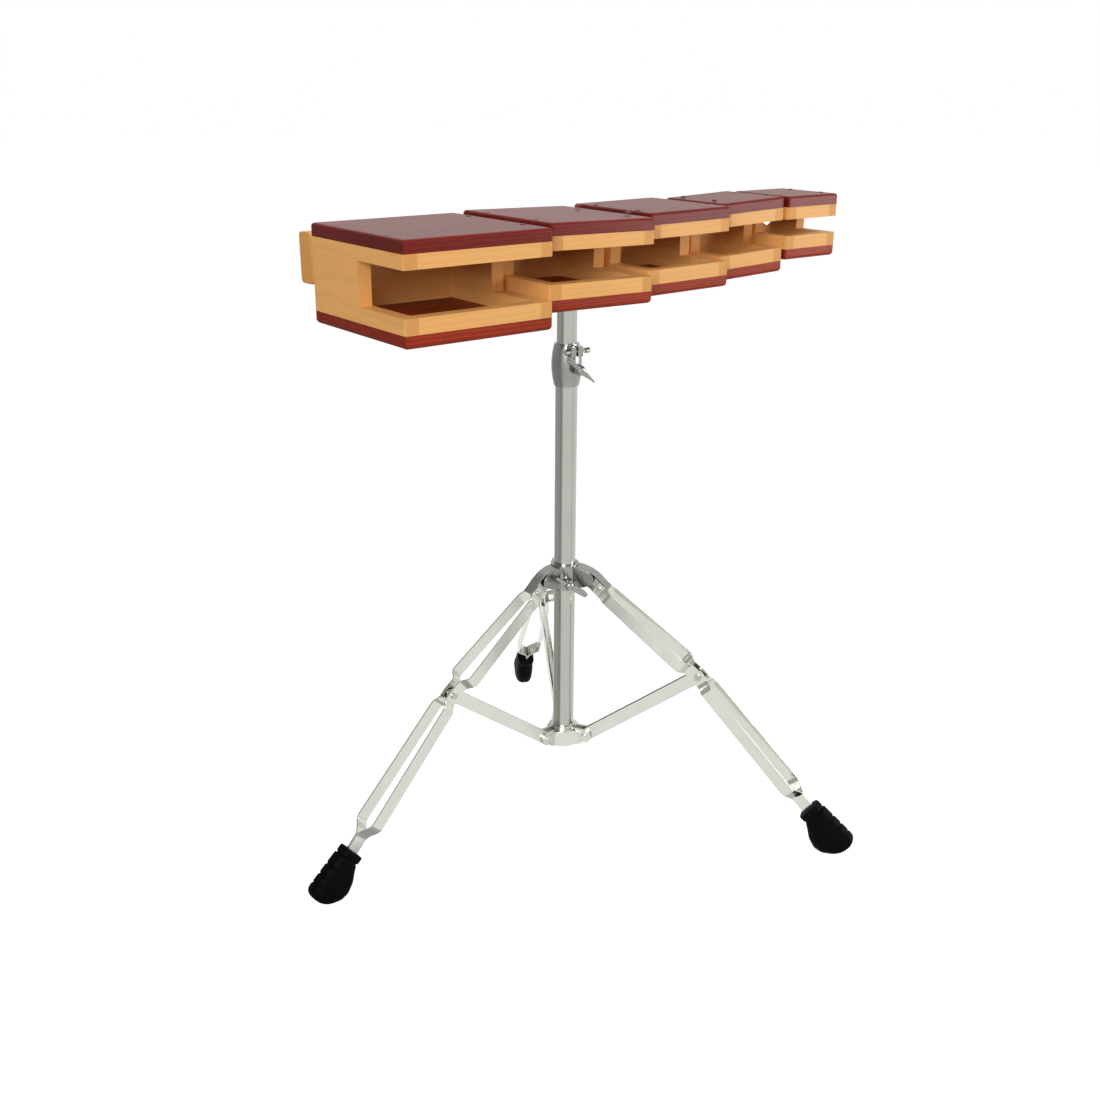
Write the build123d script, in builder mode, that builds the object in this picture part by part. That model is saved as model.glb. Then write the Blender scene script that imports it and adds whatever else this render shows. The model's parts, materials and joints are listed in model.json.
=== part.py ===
"""Five graduated slit box blocks on a wooden rail, carried by a double-strip folding tripod.

World frame: millimetres, +Z up, X along the rail (largest block at -X), players' side at -Y.
The origin is on the floor, under the axis of the column.
"""
from build123d import *
from math import cos, hypot, radians, sin
import os

os.makedirs("parts", exist_ok=True)

# ---------------------------------------------------------------- driving sizes
top_z = 917.0                # playing faces above the floor

# blocks: centre x, width, depth, height, depth of the slit in the side walls, turn on the bolt
block_table = {
    "block1": (-295.0, 198.0, 199.0, 115.0, 96.0, 0.2),
    "block2": (-103.5, 161.0, 179.0, 103.0, 94.0, 1.4),
    "block3": (64.8, 140.0, 152.0, 103.0, 75.0, -0.3),
    "block4": (222.0, 121.0, 112.0, 102.5, 59.0, -1.6),
    "block5": (348.0, 104.5, 107.5, 87.5, 60.0, 0.4),
}
plate_t = 14.8               # top and bottom plates
wall_t = 17.0                # side, front and back walls
upper_band = 16.5            # wall left above the slit
lower_band = 18.2            # wall left below the slit
corner_r = 3.0               # upright corners
plate_edge_r = 4.0           # playing edge and lower edge of the plates
joint_gap = 0.1              # glue line between wooden pieces

rail_t = 27.0
rail_front_y = -16.0        # the socket under the rail stays behind the blocks
rail_h = 59.0
rail_drop = 12.0             # rail top below the playing faces
rail_edge_r = 5.0

block_bolt_r = 4.0
block_bolt_fit = 0.05        # radial running clearance, block on its bolt
bolt_head_r = 9.0
bolt_head_h = 4.0
washer_r = 12.0
washer_t = 1.8
slide_gap = 0.2              # flat faces that turn on each other
nut_r = 8.0
nut_h = 8.0

lower_tube_r = 15.9
tube_wall = 1.5
lower_tube_z = (106.0, 725.5)
upper_tube_r = 14.3
upper_tube_z0 = 400.0
tube_fit = 0.08              # radial running clearance, upper tube in lower tube
plug_h = 12.0
plug_flange = 3.0

clamp_r_end = 17.6           # barrel-shaped height clamp
clamp_r_mid = 21.5
clamp_h = 59.5
clamp_lip = 2.0
clamp_azimuth = 262.0        # where the slit and the screws point
clamp_slit_w = 3.0
clamp_slit_h = 19.0
clamp_lug_t = 8.0
clamp_lug_h = 14.0
clamp_bolt_r = 2.5
clamp_lug_reach = 7.0        # lugs past the widest part of the barrel

screw_r = 4.0                # the three wing screws
screw_fit = 0.05
boss_r = 7.5
boss_len = 6.0
wing_span = 46.0
wing_w = 10.0
wing_t = 6.0

leg_azimuth = 181.6          # first leg; the others follow at 120 degrees
leg_names = ("left", "right", "rear")
pivot_u = 38.0               # radius of the hub pivots, upper and lower
lower_pivot_z = 120.0
link_len = 216.5             # hub pivot to knee, and knee to lower pivot: equal, so the fold is exact
knee_angle = 37.2            # both links against the horizontal
strip_w = 19.4
strip_t = 2.5
bow_at_hub = 13.5            # half spacing of a leg's two strips, from the hub down to the boot
bow_at_knee = 20.0
bow_below_knee = 14.5
bow_at_boot = 18.5
knee_half = 6.85             # half spacing of the strips at the knee
bracket_cheek_t = 2.5
ear_t = 8.0                  # hub ear inside the bracket
side_gap = 0.3
brace_w = 19.0
brace_t = 10.0
brace_wall = 2.0
pin_r = 3.5
knee_pin_r = 4.0
pin_fit = 0.06
open_pivot_fit = 0.3         # the two hub pivots where the linkage is opened
pin_head_r = 5.2
pin_head_t = 1.6

boot_top = (385.0, 64.0)     # radius and height of the boot's mouth on the leg's centre line
boot_drop = 40.4             # slope of the boot below the horizontal
boot_half_w = 14.5           # half width across the leg
boot_edge_r = 6.0
collar_half = 17.5           # half depth of the collar in the plane of the leg
collar_h = 11.0
collar_edge_r = 2.5
neck_half = 14.5
boot_back = 19.0             # the boot's upper side above its centre line
heel = (33.0, -31.0)         # the lower side: distance from the mouth, height over the centre line
sole_inner = (57.5, -36.5)
sole_outer = (78.0, -19.0)
toe = 79.0
foot_rest_u = 418.0          # radius of the sole's middle
tongue_in_boot = 40.0
tongue_fit = 0.2
mouth_lead = 3.0             # the tongue's slot starts this far above the boot's tilted mouth

hub_r = 21.0
hub_h = 38.0
spreader_r = 23.0
spreader_h = 27.0
spreader_drop = 3.5          # its middle below the lower pivots
arm_half = 9.6

socket_r = 17.5
socket_h = 42.0
shelf_t = 4.0
back_plate_t = 3.0
back_plate_w = 80.0
rail_screw_r = 2.5
rail_screw_len = 20.0

# ---------------------------------------------------------------- derived places
rail_back_y = rail_front_y + rail_t
rail_top_z = top_z - rail_drop
rail_bottom_z = rail_top_z - rail_h
block_back_y = rail_front_y - washer_t - slide_gap
bolt_z = rail_top_z - rail_h / 2
lower_tube_in_r = upper_tube_r + tube_fit
clamp_top_z = lower_tube_z[1] + clamp_lip
clamp_z = clamp_top_z - clamp_h / 2
knee_rise = link_len * sin(radians(knee_angle))
knee_u = pivot_u + link_len * cos(radians(knee_angle))
knee_z = lower_pivot_z + knee_rise
upper_pivot_z = lower_pivot_z + 2 * knee_rise
upper_pivot = (pivot_u, upper_pivot_z)
knee = (knee_u, knee_z)
lower_pivot = (pivot_u, lower_pivot_z)
bracket_half = ear_t / 2 + side_gap + bracket_cheek_t
strip_hub_half = bracket_half + strip_t / 2
strip_foot_half = strip_t / 2 + joint_gap / 2


def save(piece, name):
    """Label a finished piece and write its STEP file."""
    piece.part.label = name
    export_step(piece.part, f"parts/{name}.step")


# ---------------------------------------------------------------- blocks
def block_plane(centre_x, turn):
    """Plane through the block's bolt: x across, y towards the rail, z up, turned about the bolt."""
    a = radians(turn)
    return Plane(origin=(centre_x, block_back_y, bolt_z), x_dir=(cos(a), 0, -sin(a)), z_dir=(sin(a), 0, cos(a)))


def make_block(name, centre_x, width, depth, height, slit_depth, turn):
    plane = block_plane(centre_x, turn)
    top = top_z - bolt_z
    bottom = top - height
    wall_low = bottom + plate_t + joint_gap
    wall_high = top - plate_t - joint_gap
    slit_low = wall_low + lower_band
    slit_high = wall_high - upper_band
    wall_x = width / 2 - wall_t / 2
    front_y = -depth + wall_t / 2
    inner_w = width - 2 * wall_t - 2 * joint_gap

    for part_name, low, edge_level in (("top_plate", top - plate_t, -1), ("bottom_plate", bottom, 0)):
        with BuildPart() as plate:
            with BuildSketch(plane.offset(low)):
                with Locations((0, -depth / 2)):
                    RectangleRounded(width, depth, corner_r)
            extrude(amount=plate_t)
            rim = plate.faces().sort_by(Axis(plane.origin, plane.z_dir))[edge_level].edges()
            fillet(rim, plate_edge_r if edge_level else plate_edge_r + 1)
        save(plate, f"{name}_{part_name}")

    with BuildPart() as sides:
        with BuildSketch(plane.offset(wall_low)):
            with Locations((-wall_x, -depth / 2), (wall_x, -depth / 2)):
                Rectangle(wall_t, depth)
        extrude(amount=wall_high - wall_low)
        uprights = sides.edges().filter_by(Axis(plane.origin, plane.z_dir))
        outer = [e for e in uprights if abs(plane.to_local_coords(e.center()).X) > width / 2 - 1]
        fillet(outer, corner_r)
        with BuildSketch(plane.offset(slit_low)):
            with Locations((0, -depth + slit_depth / 2)):
                Rectangle(width + 2, slit_depth)
        extrude(amount=slit_high - slit_low, mode=Mode.SUBTRACT)
    save(sides, f"{name}_side_walls")

    with BuildPart() as bars:
        for low, high in ((wall_low, slit_low), (slit_high, wall_high)):
            with BuildSketch(plane.offset(low)):
                with Locations((0, front_y)):
                    Rectangle(inner_w, wall_t)
            extrude(amount=high - low)
    save(bars, f"{name}_front_bars")

    with BuildPart() as back:
        with BuildSketch(plane.offset(wall_low)):
            with Locations((0, -wall_t / 2)):
                Rectangle(inner_w, wall_t)
        extrude(amount=wall_high - wall_low)
        with BuildSketch(Plane(origin=(centre_x, block_back_y, bolt_z), z_dir=(0, -1, 0))):
            Circle(block_bolt_r + block_bolt_fit)
        extrude(amount=wall_t, mode=Mode.SUBTRACT)
    save(back, f"{name}_back_wall")


for block_name, row in block_table.items():
    make_block(block_name, *row)


# ---------------------------------------------------------------- rail and its fastenings
bolt_xs = [row[0] for row in block_table.values()]
rail_low_x = block_table["block1"][0] - block_table["block1"][1] / 2
rail_high_x = block_table["block5"][0] + block_table["block5"][1] / 2
screw_half_x = back_plate_w / 2 - 14
bracket_screws = [(x, rail_bottom_z + z) for x in (-screw_half_x, screw_half_x) for z in (14, rail_h - 19)]


def rail_face(y):
    """Plane across the rail at depth y, looking towards the player."""
    return Plane(origin=(0, y, 0), x_dir=(1, 0, 0), z_dir=(0, -1, 0))


with BuildPart() as rail:
    with BuildSketch(Plane.YZ.offset(rail_low_x)):
        with Locations((rail_front_y + rail_t / 2, rail_bottom_z + rail_h / 2)):
            RectangleRounded(rail_t, rail_h, rail_edge_r)
    extrude(amount=rail_high_x - rail_low_x)
    with BuildSketch(rail_face(rail_back_y)):
        with Locations(*[(x, bolt_z) for x in bolt_xs]):
            Circle(block_bolt_r)
    extrude(amount=rail_t, mode=Mode.SUBTRACT)
    with BuildSketch(rail_face(rail_back_y)):
        with Locations(*bracket_screws):
            Circle(rail_screw_r)
    extrude(amount=rail_screw_len, mode=Mode.SUBTRACT)
save(rail, "rail")

bolt_head_y = block_back_y - wall_t - slide_gap
with BuildPart() as block_bolts:
    with BuildSketch(rail_face(rail_back_y + nut_h + 2)):
        with Locations(*[(x, bolt_z) for x in bolt_xs]):
            Circle(block_bolt_r)
    extrude(amount=rail_back_y + nut_h + 2 - bolt_head_y)
    with BuildSketch(rail_face(bolt_head_y)):
        with Locations(*[(x, bolt_z) for x in bolt_xs]):
            Circle(bolt_head_r)
    extrude(amount=bolt_head_h, taper=20)
save(block_bolts, "block_bolts")

with BuildPart() as block_washers:
    with BuildSketch(rail_face(rail_front_y)):
        with Locations(*[(x, bolt_z) for x in bolt_xs]):
            Circle(washer_r)
            Circle(block_bolt_r, mode=Mode.SUBTRACT)
    extrude(amount=washer_t)
save(block_washers, "block_washers")

with BuildPart() as block_wing_nuts:
    for x in bolt_xs:
        with BuildSketch(rail_face(rail_back_y + nut_h)):
            with Locations((x, bolt_z)):
                Circle(nut_r)
                SlotOverall(38, 7)
                Circle(block_bolt_r, mode=Mode.SUBTRACT)
        extrude(amount=nut_h)
save(block_wing_nuts, "block_wing_nuts")

shelf_z = rail_bottom_z - shelf_t
socket_z0 = shelf_z - socket_h
rail_screw_azimuth = 90.0


def radial_plane(azimuth, radius, z):
    """Plane at the given radius whose normal points outwards along the azimuth; its y axis is up."""
    a = radians(azimuth)
    return Plane(
        origin=(radius * cos(a), radius * sin(a), z),
        x_dir=(-sin(a), cos(a), 0),
        z_dir=(cos(a), sin(a), 0),
    )


rail_screw_z = socket_z0 + socket_h / 2
with BuildPart() as rail_bracket:
    with BuildSketch(Plane.XY.offset(socket_z0)):
        Circle(socket_r)
    extrude(amount=socket_h)
    with BuildSketch(Plane.XY.offset(shelf_z)):
        with Locations((0, rail_front_y + (rail_t + back_plate_t) / 2)):
            Rectangle(back_plate_w, rail_t + back_plate_t)
    extrude(amount=shelf_t)
    with BuildSketch(rail_face(rail_back_y + back_plate_t)):
        with Locations((0, shelf_z + (rail_h - 8 + shelf_t) / 2)):
            Rectangle(back_plate_w, rail_h - 8 + shelf_t)
        with Locations(*bracket_screws):
            Circle(rail_screw_r, mode=Mode.SUBTRACT)
    extrude(amount=back_plate_t)
    with BuildSketch(radial_plane(rail_screw_azimuth, upper_tube_r + 1, rail_screw_z)):
        Circle(boss_r)
    extrude(amount=socket_r - upper_tube_r - 1 + boss_len)
    with BuildSketch(radial_plane(rail_screw_azimuth, 0, rail_screw_z)):
        Circle(screw_r + screw_fit)
    extrude(amount=socket_r + boss_len, mode=Mode.SUBTRACT)
    with BuildSketch(Plane.XY.offset(socket_z0)):
        Circle(lower_tube_in_r)
    extrude(amount=socket_h, mode=Mode.SUBTRACT)
save(rail_bracket, "rail_bracket")

with BuildPart() as rail_bracket_screws:
    with BuildSketch(rail_face(rail_back_y + back_plate_t)):
        with Locations(*bracket_screws):
            Circle(rail_screw_r)
    extrude(amount=back_plate_t + rail_screw_len)
    with BuildSketch(rail_face(rail_back_y + back_plate_t)):
        with Locations(*bracket_screws):
            Circle(2 * rail_screw_r)
    extrude(amount=-2.5)
save(rail_bracket_screws, "rail_bracket_screws")


def make_wing_screw(name, azimuth, tube_r, body_r, z, lean):
    """Wing screw that points at the column: shank from the tube to the wing, wing turned by lean."""
    shank_start = tube_r + side_gap
    wing_start = body_r + boss_len + side_gap
    with BuildPart() as screw:
        with BuildSketch(radial_plane(azimuth, shank_start, z)):
            Circle(screw_r)
        extrude(amount=wing_start - shank_start)
        with BuildSketch(radial_plane(azimuth, wing_start, z)):
            Circle(boss_r)
        extrude(amount=wing_t + 2)
        with BuildSketch(radial_plane(azimuth, wing_start + 1, z)):
            SlotOverall(wing_span, wing_w, rotation=lean)
        extrude(amount=wing_t)
    save(screw, name)


make_wing_screw("rail_wing_screw", rail_screw_azimuth, upper_tube_r, socket_r, rail_screw_z, 0)

# ---------------------------------------------------------------- tubes and height clamp
upper_tube_z1 = shelf_z - 2
with BuildPart() as upper_tube:
    with BuildSketch(Plane.XY.offset(upper_tube_z0)):
        Circle(upper_tube_r)
        Circle(upper_tube_r - tube_wall, mode=Mode.SUBTRACT)
    extrude(amount=upper_tube_z1 - upper_tube_z0)
save(upper_tube, "upper_tube")

with BuildPart() as lower_tube:
    with BuildSketch(Plane.XY.offset(lower_tube_z[0])):
        Circle(lower_tube_r)
        Circle(lower_tube_in_r, mode=Mode.SUBTRACT)
    extrude(amount=lower_tube_z[1] - lower_tube_z[0])
save(lower_tube, "lower_tube")

with BuildPart() as lower_tube_plug:
    with BuildSketch(Plane.XY.offset(lower_tube_z[0])):
        Circle(lower_tube_in_r - joint_gap)
    extrude(amount=plug_h)
    with BuildSketch(Plane.XY.offset(lower_tube_z[0] - joint_gap)):
        Circle(lower_tube_r - joint_gap)
    extrude(amount=-plug_flange)
    with BuildSketch(Plane.XY.offset(lower_tube_z[0] - joint_gap)):
        Circle(lower_tube_in_r - joint_gap)
    extrude(amount=joint_gap)
save(lower_tube_plug, "lower_tube_plug")

clamp_screw_z = clamp_z - 2
lug_z = clamp_top_z - clamp_lug_h / 2 - 1
clamp_bolt_u = clamp_r_mid + 1.5
with BuildPart() as height_clamp:
    with BuildSketch(Plane.XZ):
        with BuildLine():
            barrel = ThreePointArc(
                (clamp_r_end, clamp_top_z - clamp_h), (clamp_r_mid, clamp_z), (clamp_r_end, clamp_top_z)
            )
            Polyline(barrel @ 1, (0, clamp_top_z), (0, clamp_top_z - clamp_h), barrel @ 0)
        make_face()
    revolve(axis=Axis.Z)
    with BuildSketch(radial_plane(clamp_azimuth, 0, lug_z)):
        Rectangle(2 * clamp_lug_t + clamp_slit_w, clamp_lug_h)
    extrude(amount=clamp_r_mid + clamp_lug_reach)
    with BuildSketch(radial_plane(clamp_azimuth, 0, clamp_screw_z)):
        Circle(boss_r)
    extrude(amount=clamp_r_mid + boss_len)
    with BuildSketch(radial_plane(clamp_azimuth, 0, clamp_top_z - clamp_slit_h / 2)):
        Rectangle(clamp_slit_w, clamp_slit_h)
    extrude(amount=clamp_r_mid + clamp_lug_reach, mode=Mode.SUBTRACT)
    with BuildSketch(radial_plane(clamp_azimuth, 0, clamp_screw_z)):
        Circle(screw_r + screw_fit)
    extrude(amount=clamp_r_mid + boss_len, mode=Mode.SUBTRACT)
    with BuildSketch(radial_plane(clamp_azimuth + 90, 0, lug_z)):
        with Locations((-clamp_bolt_u, 0)):
            Circle(clamp_bolt_r)
    extrude(amount=clamp_lug_t * 3, both=True, mode=Mode.SUBTRACT)
    with BuildSketch(Plane.XY.offset(clamp_top_z - clamp_h)):
        Circle(lower_tube_r)
    extrude(amount=clamp_h - clamp_lip, mode=Mode.SUBTRACT)
    with BuildSketch(Plane.XY.offset(clamp_top_z - clamp_lip)):
        Circle(lower_tube_in_r)
    extrude(amount=clamp_lip, mode=Mode.SUBTRACT)
save(height_clamp, "height_clamp")

with BuildPart() as height_clamp_bolt:
    for start, end, radius in ((-14, 20, clamp_bolt_r), (-16.5, -clamp_lug_t - 1.6, 4.4), (16, 22, 4.0)):
        with BuildSketch(radial_plane(clamp_azimuth + 90, start, lug_z)):
            with Locations((-clamp_bolt_u, 0)):
                Circle(radius)
        extrude(amount=end - start)
save(height_clamp_bolt, "height_clamp_bolt")

make_wing_screw("height_wing_screw", clamp_azimuth, lower_tube_r, clamp_r_mid, clamp_screw_z, 42)


# ---------------------------------------------------------------- tripod
def side_plane(k, offset=0.0):
    """Plane of leg k: x is the radius from the column, y is height, the normal is across the leg."""
    a = radians(leg_azimuth + 120 * k)
    across = Vector(sin(a), -cos(a), 0)
    return Plane(origin=across * offset, x_dir=(cos(a), sin(a), 0), z_dir=across)


def run_plane(k, start, end):
    """Plane that holds the run from start to end: x along the run, y across the leg."""
    side = side_plane(k)
    origin = side.from_local_coords(Vector(start[0], start[1], 0))
    along = side.from_local_coords(Vector(end[0], end[1], 0)) - origin
    return Plane(origin=origin, x_dir=along, z_dir=along.cross(side.z_dir))


def add_ribbon(k, start, end, stations, side, width):
    """Flat strip of the given width whose half spacing follows the stations (distance, spacing)."""
    outline = [(s, side * (t - strip_t / 2)) for s, t in stations]
    outline += [(s, side * (t + strip_t / 2)) for s, t in reversed(stations)]
    with BuildSketch(run_plane(k, start, end)) as profile:
        with BuildLine():
            Polyline(*outline, close=True)
        make_face()
    extrude(profile.sketch, amount=width / 2, both=True)


def cut_pin_hole(k, place, radius):
    with BuildSketch(side_plane(k)) as hole:
        with Locations(place):
            Circle(radius)
    extrude(hole.sketch, amount=30, both=True, mode=Mode.SUBTRACT)


def add_pin(k, place, radius, half_length, head_r, head_t):
    """Pin across leg k with a head at each end."""
    with BuildSketch(side_plane(k)) as shank:
        with Locations(place):
            Circle(radius)
    extrude(shank.sketch, amount=half_length + head_t, both=True)
    for sign in (-1, 1):
        with BuildSketch(side_plane(k, sign * (half_length + joint_gap / 2))) as head:
            with Locations(place):
                Circle(head_r)
        extrude(head.sketch, amount=sign * (head_t - joint_gap / 2))


def along_run(start, end, distance):
    """Point at a distance from start towards end, in the plane of the leg."""
    length = hypot(end[0] - start[0], end[1] - start[1])
    share = distance / length
    return (start[0] + share * (end[0] - start[0]), start[1] + share * (end[1] - start[1]))


def boot_plane(k):
    """Plane of leg k at the boot's mouth: x along the boot, y towards its upper side."""
    slope = radians(boot_drop)
    side = side_plane(k)
    along = side.x_dir * cos(slope) - side.y_dir * sin(slope)
    return Plane(origin=side.from_local_coords(Vector(*boot_top, 0)), x_dir=along, z_dir=side.z_dir)


lower_run = hypot(boot_top[0] - knee[0], boot_top[1] - knee[1])
bracket_rivet_at = 23.0
bracket_len = 30.0
strip_start = 16.0
upper_stations = [
    (strip_start, strip_hub_half),
    (bracket_len, strip_hub_half),
    (bracket_len + 14, bow_at_hub),
    (link_len - 34, bow_at_knee),
    (link_len - 15, knee_half),
    (link_len + 2, knee_half),
]
lower_stations = [(-2, knee_half), (8, knee_half), (27, bow_below_knee), (lower_run - 46, bow_at_boot)]
foot_ends = {-1: lower_run + tongue_in_boot, 1: lower_run - 7}   # how far each strip reaches

for k, leg in enumerate(leg_names):
    with BuildPart() as strips:
        for side in (-1, 1):
            add_ribbon(k, upper_pivot, knee, upper_stations, side, strip_w)
            foot_stations = [(lower_run - 20, strip_foot_half), (foot_ends[side], strip_foot_half)]
            add_ribbon(k, knee, boot_top, lower_stations + foot_stations, side, strip_w)
            with BuildSketch(side_plane(k, side * (knee_half - strip_t / 2))):
                with Locations(knee):
                    Circle(strip_w / 2)
            extrude(amount=side * strip_t)
        cut_pin_hole(k, knee, knee_pin_r)
        cut_pin_hole(k, along_run(upper_pivot, knee, bracket_rivet_at), pin_r)
    save(strips, f"leg_{leg}_strips")

    with BuildPart() as bracket:
        for side in (-1, 1):
            with BuildSketch(side_plane(k, side * (ear_t / 2 + side_gap))):
                with Locations(upper_pivot):
                    Circle(strip_w / 2)
            extrude(amount=side * bracket_cheek_t)
            cheek = [(0, ear_t / 2 + side_gap), (bracket_len, ear_t / 2 + side_gap)]
            cheek += [(bracket_len, bracket_half), (0, bracket_half)]
            with BuildSketch(run_plane(k, upper_pivot, knee)):
                with BuildLine():
                    Polyline(*[(s, side * t) for s, t in cheek], close=True)
                make_face()
            extrude(amount=strip_w / 2, both=True)
        with BuildSketch(run_plane(k, upper_pivot, knee).offset(-strip_w / 2)):
            with Locations(((strip_start + bracket_len) / 2 - 2, 0)):
                Rectangle(bracket_len - strip_start + 4, 2 * bracket_half)
        extrude(amount=bracket_cheek_t)
        cut_pin_hole(k, upper_pivot, pin_r + (pin_fit if k == 0 else open_pivot_fit))
        cut_pin_hole(k, along_run(upper_pivot, knee, bracket_rivet_at), pin_r)
    save(bracket, f"leg_{leg}_bracket")

    with BuildPart() as rivets:
        add_pin(k, knee, knee_pin_r, knee_half + strip_t / 2, pin_head_r, pin_head_t)
        add_pin(
            k, along_run(upper_pivot, knee, bracket_rivet_at), pin_r,
            strip_hub_half + strip_t / 2, pin_head_r - 1, pin_head_t,
        )
    save(rivets, f"leg_{leg}_rivets")

    with BuildPart() as boot:
        boot_side = boot_plane(k)
        with BuildSketch(boot_side) as outline:
            Polygon(
                (collar_h - 2, neck_half), (collar_h + 4, boot_back), (toe, boot_back),
                sole_outer, sole_inner, heel, (collar_h - 2, -neck_half), align=None,
            )
            corners = outline.vertices().filter_by(lambda v: boot_side.to_local_coords(v.center()).X > heel[0] - 1)
            fillet(corners, 9.0)
        extrude(amount=boot_half_w, both=True)
        rims = boot.faces().filter_by(Axis(boot_side.origin, boot_side.z_dir)).edges()
        fillet(rims, boot_edge_r)
        with BuildSketch(Plane(origin=boot_side.origin, x_dir=boot_side.y_dir, z_dir=boot_side.x_dir)):
            RectangleRounded(2 * collar_half, 2 * boot_half_w, boot_half_w - 3)
        collar = extrude(amount=collar_h)
        fillet(collar.faces().sort_by(Axis(boot_side.origin, boot_side.x_dir))[0].edges(), collar_edge_r)
        with BuildSketch(Plane.XY):
            Circle(2 * boot_top[0])
        extrude(amount=-2 * boot_back, mode=Mode.SUBTRACT)
        with BuildSketch(run_plane(k, knee, boot_top)):
            with Locations((lower_run + (tongue_in_boot - mouth_lead) / 2, -strip_foot_half)):
                Rectangle(tongue_in_boot + mouth_lead + 2 * tongue_fit, strip_t + 2 * tongue_fit)
        extrude(amount=strip_w / 2 + tongue_fit, both=True, mode=Mode.SUBTRACT)
    save(boot, f"foot_{leg}")

    with BuildPart() as brace:
        with BuildSketch(side_plane(k)):
            with Locations(along_run(lower_pivot, knee, link_len / 2)):
                SlotOverall(link_len + brace_w, brace_w, rotation=knee_angle)
        extrude(amount=brace_t / 2, both=True)
        with BuildSketch(run_plane(k, lower_pivot, knee).offset(brace_w / 2 - brace_wall)):
            with Locations((link_len / 2, 0)):
                Rectangle(link_len + 2 * brace_w, brace_t - 2 * brace_wall)
        extrude(amount=-brace_w, mode=Mode.SUBTRACT)
        cut_pin_hole(k, lower_pivot, pin_r + pin_fit)
        cut_pin_hole(k, knee, knee_pin_r + pin_fit)
    save(brace, f"brace_{leg}")


def tripod_body(centre_r, height, mid_z, pivot, arm_width, arm_end_r):
    """Central ring with three arms that end round about the pivots."""
    with BuildSketch(Plane.XY.offset(mid_z - height / 2)) as ring:
        Circle(centre_r)
    extrude(ring.sketch, amount=height)
    for k in range(3):
        with BuildSketch(side_plane(k)) as arm:
            with Locations(pivot):
                Circle(arm_end_r)
            with Locations((pivot[0] / 2, pivot[1])):
                Rectangle(pivot[0], 2 * arm_end_r)
        extrude(arm.sketch, amount=arm_width / 2, both=True)


def bore_column(radius):
    with BuildSketch(Plane.XY) as bore:
        Circle(radius)
    extrude(bore.sketch, amount=lower_tube_z[1], mode=Mode.SUBTRACT)


hub_screw_z = upper_pivot_z - 4
with BuildPart() as leg_hub:
    tripod_body(hub_r, hub_h, upper_pivot_z, upper_pivot, ear_t, 9.0)
    with BuildSketch(radial_plane(clamp_azimuth - 20, 0, hub_screw_z)):
        Circle(boss_r)
    extrude(amount=hub_r + boss_len)
    with BuildSketch(radial_plane(clamp_azimuth - 20, 0, hub_screw_z)):
        Circle(screw_r + screw_fit)
    extrude(amount=hub_r + boss_len, mode=Mode.SUBTRACT)
    bore_column(lower_tube_r + tube_fit)
    for k in range(3):
        cut_pin_hole(k, upper_pivot, pin_r)
save(leg_hub, "leg_hub")

with BuildPart() as hub_pins:
    for k in range(3):
        add_pin(k, upper_pivot, pin_r, bracket_half + side_gap, pin_head_r - 1, pin_head_t)
save(hub_pins, "hub_pins")

make_wing_screw("hub_wing_screw", clamp_azimuth - 20, lower_tube_r, hub_r, hub_screw_z, 30)

spreader_z = lower_pivot_z - spreader_drop
brace_slot = brace_t + 2 * side_gap
with BuildPart() as spreader_hub:
    tripod_body(spreader_r, spreader_h, spreader_z, lower_pivot, 2 * arm_half, 10.0)
    with BuildSketch(Plane.XY.offset(spreader_z + spreader_h / 2)):
        Circle(lower_tube_r + 3)
    extrude(amount=4)
    for k in range(3):
        a = radians(leg_azimuth + 120 * k)
        with BuildSketch(Plane(origin=(0, 0, spreader_z - spreader_h), x_dir=(cos(a), sin(a), 0), z_dir=(0, 0, 1))):
            with Locations((pivot_u + 8, 0)):
                Rectangle(2 * (pivot_u + 8 - lower_tube_r - 3.5), brace_slot)
        extrude(amount=3 * spreader_h, mode=Mode.SUBTRACT)
        cut_pin_hole(k, lower_pivot, pin_r)
    bore_column(lower_tube_r)
    with BuildSketch(radial_plane(leg_azimuth + 60, 0, spreader_z - 2)):
        Circle(2.5)
    extrude(amount=spreader_r + 5, mode=Mode.SUBTRACT)
save(spreader_hub, "spreader_hub")

with BuildPart() as spreader_pins:
    for k in range(3):
        add_pin(k, lower_pivot, pin_r, arm_half, pin_head_r - 1, pin_head_t)
save(spreader_pins, "spreader_pins")

with BuildPart() as spreader_screw:
    with BuildSketch(radial_plane(leg_azimuth + 60, lower_tube_r + joint_gap, spreader_z - 2)):
        Circle(2.5)
    extrude(amount=spreader_r - lower_tube_r)
save(spreader_screw, "spreader_screw")
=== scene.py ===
import json
from math import atan2, cos, hypot, pi, radians, sin

import bpy
from mathutils import Matrix, Vector


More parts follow.
